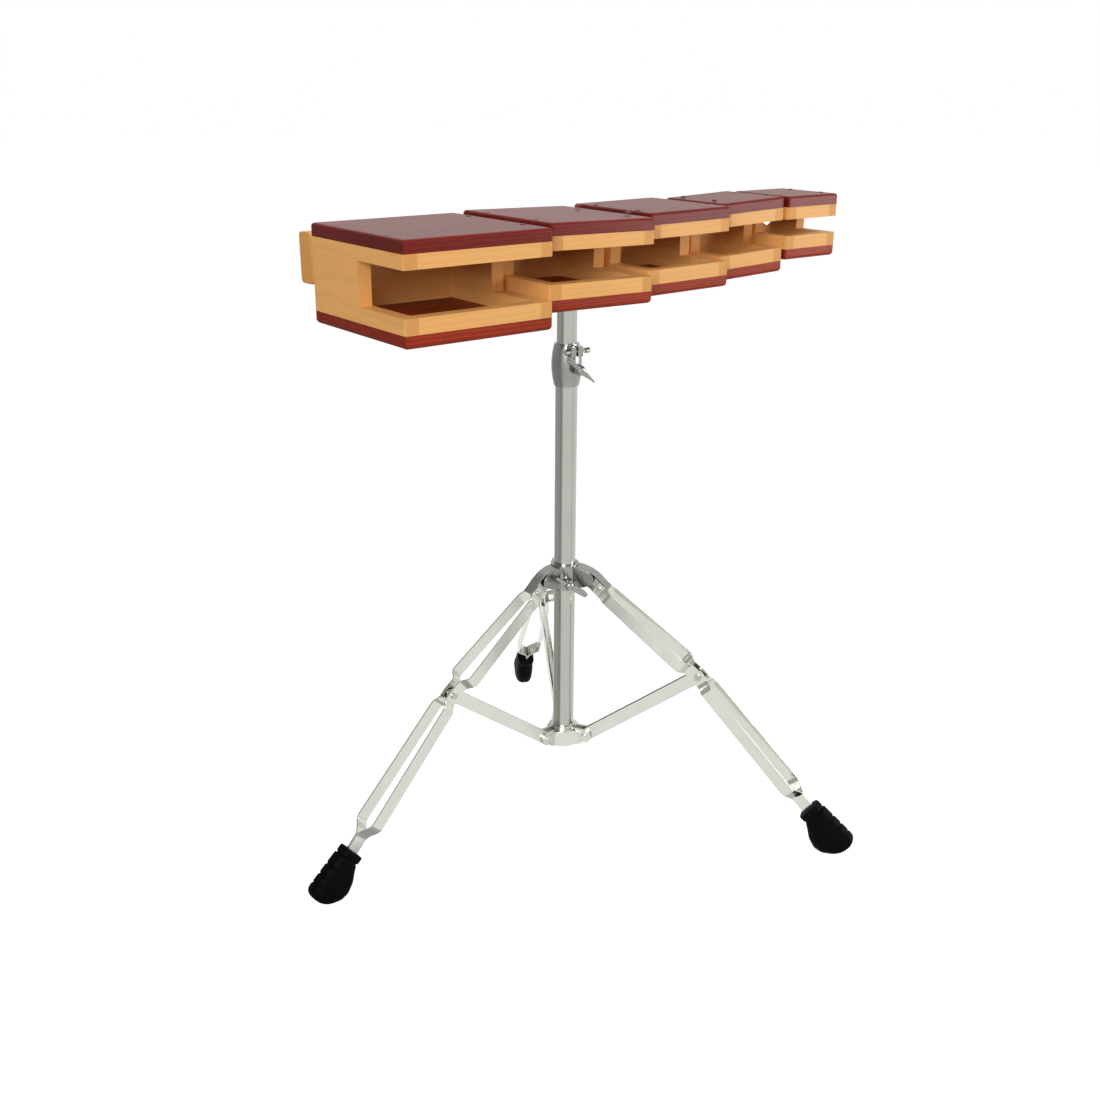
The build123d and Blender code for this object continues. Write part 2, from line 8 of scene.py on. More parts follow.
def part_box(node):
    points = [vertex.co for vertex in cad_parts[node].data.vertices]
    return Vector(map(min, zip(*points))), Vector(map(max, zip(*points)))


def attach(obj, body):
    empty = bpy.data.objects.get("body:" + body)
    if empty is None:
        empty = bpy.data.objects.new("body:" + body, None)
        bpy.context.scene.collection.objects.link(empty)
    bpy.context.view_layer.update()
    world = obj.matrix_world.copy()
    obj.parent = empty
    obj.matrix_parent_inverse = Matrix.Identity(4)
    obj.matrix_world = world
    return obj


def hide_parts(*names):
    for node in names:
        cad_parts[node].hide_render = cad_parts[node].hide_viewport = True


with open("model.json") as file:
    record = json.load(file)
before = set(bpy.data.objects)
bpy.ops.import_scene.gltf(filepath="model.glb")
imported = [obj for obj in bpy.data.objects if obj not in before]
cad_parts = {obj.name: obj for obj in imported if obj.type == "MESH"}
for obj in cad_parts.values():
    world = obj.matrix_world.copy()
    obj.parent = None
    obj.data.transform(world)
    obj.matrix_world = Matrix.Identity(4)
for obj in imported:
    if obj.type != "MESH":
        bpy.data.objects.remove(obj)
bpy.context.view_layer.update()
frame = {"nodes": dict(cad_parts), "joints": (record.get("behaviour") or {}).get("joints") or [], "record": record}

MM = 0.001
joints = {j["name"]: j for j in frame["joints"]}
slot_of_node = {part["node"]: part["material_slot"] for part in frame["record"]["subparts"]}
block_names = [f"block{n}" for n in range(1, 6)]
leg_names = ("left", "right", "rear")


# ---------------------------------------------------------------- node tools
class Socket:
    """One node output; arithmetic on it adds Math nodes."""

    def __init__(self, finish, source):
        self.finish = finish
        self.source = source

    def _math(self, operation, first, second=0.0):
        return self.finish.node("ShaderNodeMath", {"operation": operation}, {0: first, 1: second})

    def __add__(self, other):
        return self._math("ADD", self, other)

    def __sub__(self, other):
        return self._math("SUBTRACT", self, other)

    def __rsub__(self, other):
        return self._math("SUBTRACT", other, self)

    def __mul__(self, other):
        return self._math("MULTIPLY", self, other)

    def __truediv__(self, other):
        return self._math("DIVIDE", self, other)

    def __pow__(self, other):
        return self._math("POWER", self, other)

    def __abs__(self):
        return self._math("ABSOLUTE", self)

    def fraction(self):
        return self._math("FRACT", self)

    __radd__ = __add__
    __rmul__ = __mul__


class Finish:
    """A material or world that is being put together from nodes."""

    def __init__(self, name=None, tree=None):
        if tree is None:
            self.material = bpy.data.materials.new(name)
            self.material.use_nodes = True
            tree = self.material.node_tree
        self.tree = tree
        tree.nodes.clear()

    def node(self, kind, settings=None, sockets=None, output=0):
        made = self.tree.nodes.new(kind)
        for key, value in (settings or {}).items():
            setattr(made, key, value)
        for key, value in (sockets or {}).items():
            if isinstance(value, Socket):
                self.tree.links.new(value.source, made.inputs[key])
            else:
                made.inputs[key].default_value = value
        return Socket(self, made.outputs[output])

    def place(self):
        return self.node("ShaderNodeTexCoord", output="Object")

    def split(self, vector):
        first = self.node("ShaderNodeSeparateXYZ", sockets={0: vector})
        outputs = first.source.node.outputs
        return [Socket(self, outputs[n]) for n in range(3)]

    def join(self, x, y, z):
        return self.node("ShaderNodeCombineXYZ", sockets={0: x, 1: y, 2: z})

    def noise(self, vector, scale, detail=2.0, roughness=0.5):
        sockets = {"Vector": vector, "Scale": scale, "Detail": detail, "Roughness": roughness}
        return self.node("ShaderNodeTexNoise", sockets=sockets)

    def spread(self, value, low, high, to_low=0.0, to_high=1.0):
        """The value between low and high, stretched to another range and held inside it."""
        sockets = {0: value, 1: low, 2: high, 3: to_low, 4: to_high}
        return self.node("ShaderNodeMapRange", {"clamp": True}, sockets)

    def blend(self, share, first, second, how="MIX"):
        settings = {"data_type": "RGBA", "blend_type": how}
        return self.node("ShaderNodeMix", settings, {0: share, 6: first, 7: second}, output=2)

    def bump(self, height, distance):
        return self.node("ShaderNodeBump", sockets={"Height": height, "Distance": distance, "Strength": 1.0})

    def surface(self, **sockets):
        names = {key.replace("_", " "): value for key, value in sockets.items()}
        shader = self.node("ShaderNodeBsdfPrincipled", sockets=names)
        end = self.tree.nodes.new("ShaderNodeOutputMaterial")
        self.tree.links.new(shader.source, end.inputs[0])
        return self.material


def rgb(red, green, blue):
    return (red, green, blue, 1.0)


black, white = rgb(0, 0, 0), rgb(1, 1, 1)


# ---------------------------------------------------------------- finishes
wood_relief = 0.06 * MM          # height of fibres, pores and growth rings in the bump
zinc_relief = 0.04 * MM


def lacquered_wood(
    name, grain, heart, light, dark, ring_gap, ring_depth, fibre_depth, end_shade, gloss, coat
):
    """Lacquered hardwood: rings about a far heart line, fibres along the grain, darker end grain."""
    wood = Finish(name)
    axes = wood.split(wood.place())
    along = axes[grain]
    side, rise = [axes[n] for n in range(3) if n != grain]

    def drawn_out(share, scale, detail=2.0, roughness=0.5):
        """Noise whose spots are longer along the grain: the smaller the share, the longer they are."""
        return wood.noise(wood.join(along * share, side, rise), scale, detail, roughness)

    # growth rings, set off by a slow wander and a finer swirl
    wander, swirl = drawn_out(0.16, 22.0, 3.0), drawn_out(0.3, 90.0)
    from_heart = ((side - heart[0]) ** 2.0 + (rise - heart[1]) ** 2.0) ** 0.5
    ring = (from_heart / ring_gap + wander * 3.2 + swirl * 0.5).fraction()
    late = wood.spread(ring, 0.25, 1.0) ** 2.0
    # fibres, open pores and broad changes of tone
    fibre = drawn_out(0.035, 1500.0, 3.0, 0.6)
    pores = wood.spread(drawn_out(0.05, 2300.0, 1.0), 0.63, 0.72)
    tone = wood.spread(drawn_out(0.35, 14.0), 0.3, 0.7, -0.14, 0.14)
    depth = wood.spread(late * ring_depth + (fibre - 0.5) * fibre_depth + tone + 0.15, 0.0, 1.0)
    colour = wood.blend(depth, light, dark)
    # end grain, where the surface faces along the grain
    facing = wood.split(wood.node("ShaderNodeTexCoord", output="Normal"))[grain]
    end_grain = wood.spread(abs(facing), 0.6, 0.9)
    end_tint = wood.blend(1.0, colour, rgb(*end_shade), "MULTIPLY")
    colour = wood.blend(end_grain, colour, end_tint)
    colour = wood.blend(pores * 0.25, colour, dark)
    roughness = gloss + (fibre - 0.5) * 0.12 + end_grain * 0.12
    relief = fibre * 0.5 + late * 0.25 - pores * 0.3
    return wood.surface(
        Base_Color=colour, Roughness=roughness, Normal=wood.bump(relief, wood_relief),
        Coat_Weight=coat, Coat_Roughness=0.16, IOR=1.5, Specular_IOR_Level=0.11,
    )


def chrome(name, tint, roughness, ripple, haze):
    """Bright plated metal: faint polishing lines, breath-like haze and a little orange peel."""
    metal = Finish(name)
    spot = metal.place()
    cloud = metal.noise(spot, 26.0, 3.0)
    grit = metal.noise(spot, 900.0, 2.0)
    hazy = rgb(*[channel * (1 - haze) for channel in tint[:3]])
    shade = metal.blend(metal.spread(cloud, 0.35, 0.7), tint, hazy)
    peel = metal.noise(spot, 140.0, 2.0)
    polish = metal.spread(cloud, 0.3, 0.75, roughness, roughness * 1.7) + (grit - 0.5) * 0.05
    return metal.surface(
        Base_Color=shade, Metallic=1.0, Roughness=polish, Normal=metal.bump(peel, ripple),
    )


def dull_metal(name, bright, dark, roughness):
    """Zinc-plated steel: mottled tone and turning marks."""
    metal = Finish(name)
    spot = metal.place()
    mottle = metal.noise(spot, 330.0, 4.0, 0.65)
    fine = metal.noise(spot, 2400.0, 2.0)
    shade = metal.blend(metal.spread(mottle, 0.35, 0.7), bright, dark)
    return metal.surface(
        Base_Color=shade, Metallic=1.0, Roughness=roughness + (mottle - 0.5) * 0.3,
        Normal=metal.bump(fine, zinc_relief),
    )


def moulded(name, colour, worn, roughness, grain):
    """Moulded black rubber or nylon: fine pebble, dust in patches."""
    rubber = Finish(name)
    spot = rubber.place()
    pebble = rubber.noise(spot, 1700.0, 3.0, 0.6)
    dust = rubber.spread(rubber.noise(spot, 60.0, 4.0, 0.6), 0.45, 0.75)
    shade = rubber.blend(dust * 0.5, colour, worn)
    return rubber.surface(
        Base_Color=shade, Roughness=roughness + dust * 0.12 + (pebble - 0.5) * 0.1,
        Normal=rubber.bump(pebble, grain), Specular_IOR_Level=0.05,
    )


def floor_paint():
    paper = Finish("studio_floor")
    shade = paper.noise(paper.place(), 3.0, 2.0)
    colour = paper.blend(shade, rgb(0.44, 0.44, 0.44), rgb(0.46, 0.46, 0.46))
    return paper.surface(
        Base_Color=colour, Roughness=0.9, Specular_IOR_Level=0.05,
        Emission_Color=white, Emission_Strength=0.84,
    )


# grey screens round the studio: bearing of the middle, half width without and with its soft edge,
# brightness
wide_screen, screen_core = (143.0, 50.0, 58.0, 0.5), (177.0, 6.0, 13.0, 0.8)
narrow_screen = (-56.0, 2.0, 5.0, 0.6)
room_white = rgb(0.97, 0.98, 0.95)


def room_shade(room, x, y):
    """Brightness of the studio by compass direction: the screens make the stripes in the plating."""
    bearing = room.node("ShaderNodeMath", {"operation": "ARCTAN2"}, {0: y, 1: x}) * (180 / pi)
    shade = 1.0
    for middle, inner, outer, brightness in (wide_screen, screen_core, narrow_screen):
        # measured from the opposite side, because the bearing jumps at the half turn
        away = abs(abs(bearing + (180.0 - middle)) - 180.0)
        shade = shade * room.spread(away, inner, outer, brightness, 1.0)
    return shade


def floor_glow():
    """Sheet just above the floor, seen only in reflections, that carries the screens' shade."""
    glow = Finish("floor_glow")
    x, y, _ = glow.split(glow.place())
    tone = glow.blend(room_shade(glow, x, y), black, room_white)
    return glow.surface(
        Base_Color=black, Emission_Color=tone, Emission_Strength=1.0, Specular_IOR_Level=0.0,
    )


padauk_light, padauk_dark = rgb(0.22, 0.014, 0.007), rgb(0.07, 0.003, 0.002)
lower_light, lower_dark = rgb(0.42, 0.040, 0.010), rgb(0.15, 0.010, 0.003)
maple_light, maple_dark = rgb(0.95, 0.50, 0.165), rgb(0.74, 0.33, 0.085)
plug_light, plug_end = rgb(0.2, 0.03, 0.03), (0.6, 0.55, 0.6)
padauk_end, maple_end = (0.72, 0.7, 0.7), (0.84, 0.78, 0.7)
ALONG_X, ALONG_Y, ALONG_Z = range(3)

# grain axis, heart line, light and dark wood, ring gap in metres, depth of rings and fibres, end grain,
# roughness, lacquer
woods = {
    "padauk_top": (
        ALONG_X, (-0.09, 0.66), padauk_light, padauk_dark, 0.0042, 0.55, 0.5, padauk_end, 0.36, 0.07),
    "padauk_bottom": (
        ALONG_X, (-0.05, 0.60), lower_light, lower_dark, 0.0035, 0.65, 0.55, padauk_end, 0.4, 0.03),
    "maple_across": (
        ALONG_X, (0.1, 1.2), maple_light, maple_dark, 0.0048, 0.28, 0.22, maple_end, 0.44, 0.04),
    "maple_deep": (
        ALONG_Y, (0.9, 1.1), maple_light, maple_dark, 0.0044, 0.28, 0.22, maple_end, 0.44, 0.04),
    "plug_wood": (
        ALONG_Z, (-0.3, 0.4), plug_light, padauk_dark, 0.003, 0.4, 0.5, plug_end, 0.4, 0.3),
}
# tint, roughness, height of the ripple in metres, haze
platings = {
    "chrome_tube": (rgb(0.50, 0.51, 0.475), 0.08, 0.00001, 0.05),
    "chrome_castings": (rgb(0.36, 0.365, 0.345), 0.2, 0.00004, 0.18),
    "chrome_strips": (rgb(0.70, 0.71, 0.655), 0.12, 0.000006, 0.05),
}
# colour, worn colour, roughness, height of the pebble in metres
blacks = {
    "foot_rubber": (rgb(0.0012, 0.0012, 0.0012), rgb(0.004, 0.0038, 0.0036), 0.55, 0.00006),
    "washer_rubber": (rgb(0.02, 0.02, 0.02), rgb(0.05, 0.05, 0.048), 0.55, 0.00005),
    "black_plastic": (rgb(0.018, 0.018, 0.018), rgb(0.04, 0.04, 0.04), 0.42, 0.00004),
}
finishes = {name: lacquered_wood(name, *looks) for name, looks in woods.items()}
finishes.update({name: chrome(name, *looks) for name, looks in platings.items()})
finishes.update({name: moulded(name, *looks) for name, looks in blacks.items()})
finishes["steel_fasteners"] = dull_metal(
    "steel_fasteners", rgb(0.62, 0.58, 0.5), rgb(0.4, 0.36, 0.3), 0.32)
finishes["floor"], finishes["floor_glow"] = floor_paint(), floor_glow()


def finish_for(node):
    """Finish of a CAD piece: by its slot, and by the way its grain or its plating goes."""
    slot = slot_of_node[node]
    if slot == "padauk":
        return finishes["padauk_top" if node.endswith("top_plate") else "padauk_bottom"]
    if slot in ("maple", "rail_maple"):
        return finishes["maple_deep" if node.endswith("side_walls") else "maple_across"]
    if node.startswith(("brace", "spreader")):
        return finishes["chrome_strips"]
    return finishes[slot]


def dress(piece, finish):
    piece.data.materials.clear()
    piece.data.materials.append(finish)


for node, shown in frame["nodes"].items():
    dress(shown, finish_for(node))


# ---------------------------------------------------------------- modelling tools
def in_edit(piece):
    bpy.context.view_layer.objects.active = piece
    bpy.ops.object.mode_set(mode="EDIT")


def start_disc(name, radius, height=0.0, sides=48):
    """A flat disc at the height, left in edit mode with its face selected."""
    bpy.ops.object.select_all(action="DESELECT")
    bpy.ops.mesh.primitive_circle_add(vertices=sides, radius=radius, fill_type="NGON", location=(0, 0, 0))
    piece = bpy.context.active_object
    piece.name = name
    in_edit(piece)
    bpy.ops.mesh.select_all(action="SELECT")
    bpy.ops.transform.translate(value=(0, 0, height))
    return piece


def start_plate(name, wide, tall, place=(0, 0, 0)):
    """A flat rectangle across the local Z axis, left in edit mode with its face selected."""
    bpy.ops.object.select_all(action="DESELECT")
    bpy.ops.mesh.primitive_plane_add(size=1.0, location=(0, 0, 0))
    piece = bpy.context.active_object
    piece.name = name
    in_edit(piece)
    bpy.ops.mesh.select_all(action="SELECT")
    bpy.ops.transform.resize(value=(wide, tall, 1))
    bpy.ops.transform.translate(value=place)
    return piece


def pull(move, grow=(1, 1), about=(0, 0, 0)):
    """Extrude the selected face by a move, then scale the new end about a point."""
    bpy.ops.mesh.extrude_region_move(TRANSFORM_OT_translate={"value": move})
    if tuple(grow) != (1, 1):
        bpy.ops.transform.resize(value=(grow[0], grow[1], 1), center_override=about)


def turned(name, outline, sides=48):
    """Turned piece about local Z from (radius, height) steps, closed at both ends."""
    radius, height = outline[0]
    piece = start_disc(name, radius, height, sides)
    for next_radius, next_height in outline[1:]:
        grow = next_radius / radius
        pull((0, 0, next_height - height), (grow, grow), (0, 0, next_height))
        radius, height = next_radius, next_height
    return piece


def stepped_bar(name, rings):
    """Bar along local Z from rings of (centre x, centre y, height, width, thickness)."""
    x, y, z, wide, thick = rings[0]
    piece = start_plate(name, wide, thick, (x, y, z))
    for nx, ny, nz, nwide, nthick in rings[1:]:
        pull((nx - x, ny - y, nz - z), (nwide / wide, nthick / thick), (nx, ny, nz))
        x, y, z, wide, thick = nx, ny, nz, nwide, nthick
    return piece


def flat_curve(name, points, closed=False):
    """A smooth line in the local XY plane; a point given twice pulls it close."""
    line = bpy.data.curves.new(name, "CURVE")
    line.dimensions = "2D"
    line.resolution_u = 8
    spline = line.splines.new("NURBS")
    spline.points.add(len(points) - 1)
    for point, (x, y) in zip(spline.points, points):
        point.co = (x, y, 0, 1)
    spline.order_u = 3
    spline.use_endpoint_u = not closed
    spline.use_cyclic_u = closed
    holder = bpy.data.objects.new(name, line)
    bpy.context.scene.collection.objects.link(holder)
    return holder


def as_mesh(holder):
    bpy.ops.object.select_all(action="DESELECT")
    holder.select_set(True)
    bpy.context.view_layer.objects.active = holder
    bpy.ops.object.convert(target="MESH")
    return bpy.context.view_layer.objects.active


def bent_sheet(name, points, half_height, thickness):
    """Strip standing on the local XY plane along a smooth line, with a wall thickness."""
    holder = flat_curve(name, points)
    holder.data.extrude = half_height
    piece = as_mesh(holder)
    modify(piece, "SOLIDIFY", thickness=thickness, offset=0.0)
    return piece


def rounded_slab(name, points, half_depth, rounding):
    """Closed outline in the local XY plane, made a slab with rounded rims."""
    holder = flat_curve(name, points, closed=True)
    holder.data.fill_mode = "BOTH"
    holder.data.extrude = half_depth - rounding
    holder.data.bevel_depth = rounding
    holder.data.bevel_resolution = 3
    holder.data.offset = -rounding
    return as_mesh(holder)


def modify(piece, kind, **settings):
    if bpy.context.mode != "OBJECT":
        bpy.ops.object.mode_set(mode="OBJECT")
    bpy.context.view_layer.objects.active = piece
    change = piece.modifiers.new(kind.lower(), kind)
    for key, value in settings.items():
        setattr(change, key, value)
    bpy.ops.object.modifier_apply(modifier=change.name)


def settle(piece, rounding=0.0, segments=2, angle=40.0, smooth=35.0, levels=0):
    """Leave edit mode, clean the mesh up, round its sharp edges and smooth the rest."""
    if bpy.context.mode != "EDIT_MESH":
        in_edit(piece)
    bpy.ops.mesh.select_all(action="SELECT")
    bpy.ops.mesh.remove_doubles(threshold=0.01 * MM)
    bpy.ops.mesh.normals_make_consistent(inside=False)
    bpy.ops.object.mode_set(mode="OBJECT")
    if rounding:
        modify(
            piece, "BEVEL", width=rounding, segments=segments, limit_method="ANGLE",
            angle_limit=radians(angle))
    if levels:
        modify(piece, "SUBSURF", levels=levels, render_levels=levels)
    bpy.ops.object.select_all(action="DESELECT")
    piece.select_set(True)
    bpy.context.view_layer.objects.active = piece
    bpy.ops.object.shade_smooth_by_angle(angle=radians(smooth))
    modify(piece, "WEIGHTED_NORMAL", keep_sharp=True, weight=90)
    return piece


def join_up(name, pieces):
    bpy.ops.object.select_all(action="DESELECT")
    for piece in pieces:
        piece.select_set(True)
    bpy.context.view_layer.objects.active = pieces[0]
    bpy.ops.object.join()
    pieces[0].name = name
    return pieces[0]


def put(model, name, matrix, body, slot, finish, *replaced):
    """Copy a modelled piece to its place, with its own mesh, and hand it to a body."""
    piece = bpy.data.objects.new(name, model.data.copy())
    bpy.context.scene.collection.objects.link(piece)
    piece.data.name = name
    piece.data.transform(matrix)
    dress(piece, finishes[finish])
    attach(piece, body)
    if replaced:
        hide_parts(*replaced)
    return piece


def discard(*models):
    for model in models:
        bpy.data.objects.remove(model, do_unlink=True)


def axes_matrix(origin, x_axis, y_axis):
    """Matrix that takes a local frame to the given origin and axes."""
    x_axis, y_axis = Vector(x_axis).normalized(), Vector(y_axis).normalized()
    z_axis = x_axis.cross(y_axis)
    turn = Matrix((x_axis, y_axis, z_axis)).transposed().to_4x4()
    return Matrix.Translation(Vector(origin)) @ turn


def joint_place(name):
    return Vector(joints[name]["pos_m"])


# ---------------------------------------------------------------- legs
strip_w, strip_t = 19.4 * MM, 2.4 * MM
bow_at_hub, bow_at_knee, bow_below_knee, bow_at_boot = 13.5 * MM, 20.0 * MM, 14.5 * MM, 18.5 * MM
hub_spread, knee_spread, foot_spread = 8.05 * MM, 6.85 * MM, 1.3 * MM
strip_edge = 0.5 * MM
knee_bend = 8 * MM               # length over which the strips bend at the knee
boot_mouth = Vector((385.0, 64.0)) * MM
boot_drop = radians(40.4)
boot_corner = 9.5 * MM
web_half, web_t = 8.6 * MM, 1.8 * MM
pivot = joint_place("brace_left_fold")
knee_place = joint_place("leg_left_fold")
pivot_u, lower_pivot_z = hypot(pivot.x, pivot.y), pivot.z
knee = Vector((hypot(knee_place.x, knee_place.y), knee_place.z))
upper_pivot = Vector((pivot_u, joint_place("hub_on_leg").z))
upper_run = (knee - upper_pivot).length
lower_run = (boot_mouth - knee).length


def leg_frame(leg):
    """Leg plane: local X along the radius, local Y up, local Z across the leg."""
    foot = joint_place(f"brace_{leg}_fold")
    return axes_matrix((0, 0, 0), (foot.x, foot.y, 0), (0, 0, 1))


def run_frame(start, end):
    """Within the leg plane: X along the run, Y across the leg, Z out of the run's upper side."""
    along = (end - start).normalized()
    return axes_matrix((start.x, start.y, 0), (along.x, along.y, 0), (0, 0, 1))


def strip_line(side):
    """Plan of one strip, from the hub to the boot: distance along the leg against spacing."""
    boot_at = upper_run + lower_run
    stretches = (
        (0, 1, ((16, hub_spread), (26, hub_spread), (31, hub_spread), (40, bow_at_hub), (48, bow_at_hub))),
        (upper_run, -1, (
            (36, bow_at_knee), (29, bow_at_knee), (20, knee_spread), (14, knee_spread), (0, knee_spread))),
        (upper_run, 1, ((6, knee_spread), (13, knee_spread), (22, bow_below_knee), (30, bow_below_knee))),
        (boot_at, -1, (
            (52, bow_at_boot), (42, bow_at_boot), (26, foot_spread), (16, foot_spread), (-4, foot_spread))),
    )
    return [
        (start + way * step * MM, side * spacing)
        for start, way, points in stretches for step, spacing in points]


def model_strips():
    """Two bowed flat bars, bent a little at the knee, with eased edges."""
    strips = [bent_sheet(f"strip{side}", strip_line(side), strip_w / 2, strip_t) for side in (-1, 1)]
    pair = join_up("strips", strips)
    settle(pair, rounding=strip_edge, angle=60.0, smooth=30.0)
    bend = (boot_mouth - knee).angle(knee - upper_pivot)
    hinge = Vector((upper_run, 0, 0))
    for point in pair.data.vertices:
        share = min(max((point.co.x - upper_run) / knee_bend + 0.5, 0.0), 1.0)
        turn = Matrix.Rotation(-bend * share, 4, "Y")
        point.co = hinge + turn @ (point.co - hinge)
    return pair


def boot_rings():
    """Cross sections of the boot: distance from the mouth, upper side, lower side, half width."""
    collar = [
        (0, 15.6, -15.6, 12.6), (0.6, 16.8, -16.8, 13.8), (2, 17.4, -17.4, 14.4), (9.4, 17.4, -17.4, 14.4),
        (10.8, 16.8, -16.8, 13.8), (11.4, 15.4, -15.2, 12.8), (12.8, 15.4, -15.8, 12.8)]
    instep = [(13.6, 18.4, -17.5, 13.6), (15, 19, -18.5, 14), (22, 19, -23, 14.3), (30.5, 19.2, -29.6, 14.4)]
    ribs = [
        (32, 17.4, -30.6, 14.0), (33.6, 17.6, -31.6, 14.0), (35, 19.3, -32.5, 14.5),
        (46.5, 19.3, -36.6, 14.5), (48, 17.4, -37, 14.1), (49.6, 17.6, -37.2, 14.1), (51, 19.3, -37.4, 14.5),
        (61.5, 19.2, -35, 14.5), (63, 17.4, -34, 14.1), (64.6, 17.6, -32.6, 14.1), (66, 19, -31, 14.4)]
    toe = [(72, 18.4, -25, 14), (76, 16.4, -19.5, 13), (79, 13, -14, 11), (81, 8, -8, 7.5)]
    return collar + instep + ribs + toe


def model_boot():
    """Rubber boot: a rounded plate pulled through its rings, then cut level where it stands."""
    (_, top, bottom, half), *rings = boot_rings()
    far, mid, tall, wide = 0.0, 0.0, top - bottom, 2 * half
    body = start_plate("boot", tall * MM, wide * MM)
    bpy.ops.mesh.bevel(offset=boot_corner, segments=6, affect="VERTICES")
    bpy.ops.mesh.select_all(action="SELECT")
    for reach, top, bottom, half in rings:
        centre = (top + bottom) / 2
        grow = ((top - bottom) / tall, 2 * half / wide)
        pull(((centre - mid) * MM, 0, (reach - far) * MM), grow, (centre * MM, 0, reach * MM))
        far, mid, tall, wide = reach, centre, top - bottom, 2 * half
    bpy.ops.mesh.select_all(action="SELECT")
    level = boot_mouth.y / cos(boot_drop)
    bpy.ops.mesh.bisect(
        plane_co=(-level, 0, 0), plane_no=(cos(boot_drop), 0, -sin(boot_drop)),
        use_fill=True, clear_inner=True)
    settle(body, smooth=38.0)
    # the rings were pulled along Z: X, Y and Z become the leg plane's Y, Z and X
    body.data.transform(Matrix(((0, 0, 1, 0), (1, 0, 0, 0), (0, 1, 0, 0), (0, 0, 0, 1))))
    return body


def model_web():
    """Rounded back of the bracket, bent over the hub's ear and down along the leg."""
    slope = (knee - upper_pivot).normalized()
    out = Vector((-slope.y, slope.x))
    line = [upper_pivot + Vector(step) * MM for step in ((-9, 12.6), (-2, 14.5))]
    line += [
        upper_pivot + out * height * MM + slope * step * MM
        for height, step in ((13.4, 8), (11.6, 20), (10.9, 27), (10.9, 33))]
    web = bent_sheet("web", [tuple(point) for point in line], web_half, web_t)
    return settle(web, rounding=strip_edge, angle=60.0)


def add_legs():
    strips, boot, web = model_strips(), model_boot(), model_web()
    boot_turn = axes_matrix(
        (boot_mouth.x, boot_mouth.y, 0), (cos(boot_drop), -sin(boot_drop), 0),
        (sin(boot_drop), cos(boot_drop), 0))
    for leg in leg_names:
        place = leg_frame(leg)
        body = f"leg_{leg}"
        along = place @ run_frame(upper_pivot, knee)
        strip_node = f"leg_{leg}_strips"
        put(strips, f"{leg}_strip_pair", along, body, slot_of_node[strip_node], "chrome_strips", strip_node)
        put(boot, f"{leg}_boot", place @ boot_turn, body, "foot_rubber", "foot_rubber", f"foot_{leg}")
        put(web, f"{leg}_bracket_back", place, body, "chrome_castings", "chrome_castings")
    discard(strips, boot, web)


add_legs()


# ---------------------------------------------------------------- pressed shells of the two hubs
ear_gap, ear_sheet, ear_rim = 10.6 * MM, 1.9 * MM, 0.5 * MM
wall_sheet, wall_half, wall_edge = 2.0 * MM, 13.2 * MM, 0.7 * MM
wall_side = 10.4 * MM                    # from an arm's middle to its wall
wall_round = 24.0 * MM                   # the bend's control point, from the column's axis
arm_steps = (34 * MM, 29 * MM, 24 * MM)
arm_taper, taper_from, taper_run = 0.3, 22 * MM, 12 * MM
fixed_hub_drop = 3.5 * MM                # the hub's middle below the lower pivots


def model_ear_shells():
    """Cheek plates on both sides of one arm of the sliding hub, joined by a flange along their top."""
    outline = [(18, -15), (18, -15), (30, -14), (40, -10.5), (47, -6), (49, 1), (45, 9.5)]
    outline += [(38, 12.0), (28, 15.5), (18, 16.5), (18, 16.5)]
    cheek = [(u * MM, upper_pivot.y + z * MM) for u, z in outline]
    plates = []
    for side in (-1, 1):
        plate = rounded_slab(f"cheek{side}", cheek, ear_sheet / 2, ear_rim)
        plate.data.transform(Matrix.Translation((0, 0, side * ear_gap)))
        plates.append(plate)
    ridge = [(19, 16.2), (28, 15.4), (36, 12.4), (41, 10.8)]
    flange = bent_sheet("flange", [(u * MM, upper_pivot.y + z * MM) for u, z in ridge], ear_gap, ear_sheet)
    return settle(join_up("ear_shells", plates + [flange]), smooth=35.0)


def model_skirt():
    """Pressed wall between two arms of the fixed hub: along one arm, round the column and out the other."""
    arms = []
    for turn, side in ((0, 1), (radians(120), -1)):
        along, across = Vector((cos(turn), sin(turn))), Vector((-sin(turn), cos(turn)))
        arms.append([along * reach + across * side * wall_side for reach in arm_steps])
    middle = Vector((cos(radians(60)), sin(radians(60)))) * wall_round
    route = arms[0] + [middle] + arms[1][::-1]
    return bent_sheet("skirt", [tuple(point) for point in route], wall_half, wall_sheet)


def model_fixed_hub():
    """Three pressed walls, lower towards the ends of the arms."""
    walls = []
    for step in range(3):
        wall = model_skirt()
        wall.data.transform(Matrix.Rotation(radians(120 * step), 4, "Z"))
        walls.append(wall)
    shell = join_up("fixed_hub", walls)
    for point in shell.data.vertices:
        past = hypot(point.co.x, point.co.y) - taper_from
        point.co.z *= 1.0 - arm_taper * min(max(past / taper_run, 0.0), 1.0)
    settle(shell, rounding=wall_edge, angle=60.0)
    shell.data.transform(Matrix.Translation((0, 0, lower_pivot_z - fixed_hub_drop)))
    return shell


def add_hub_shells():
    ears = model_ear_shells()
    for leg in leg_names:
        put(ears, f"{leg}_ear_shells", leg_frame(leg), "hub", "chrome_castings", "chrome_castings")
    shell = model_fixed_hub()
    turn = Matrix.Rotation(atan2(pivot.y, pivot.x), 4, "Z")
    put(shell, "fixed_hub_walls", turn, "column", "chrome_castings", "chrome_strips")
    discard(ears, shell)


add_hub_shells()


# ---------------------------------------------------------------- wing screws
wing_rounding, boss_rounding = 1.2 * MM, 0.6 * MM
wing_lift = 6.5 * MM                     # the wing's middle, out along the screw
boss_outline = (
    (3.95, -12), (3.95, -4.6), (6.4, -4.5), (7.4, -3.4), (7.4, 1.5), (6.4, 4.5), (4.6, 6.4), (2.0, 7.2))
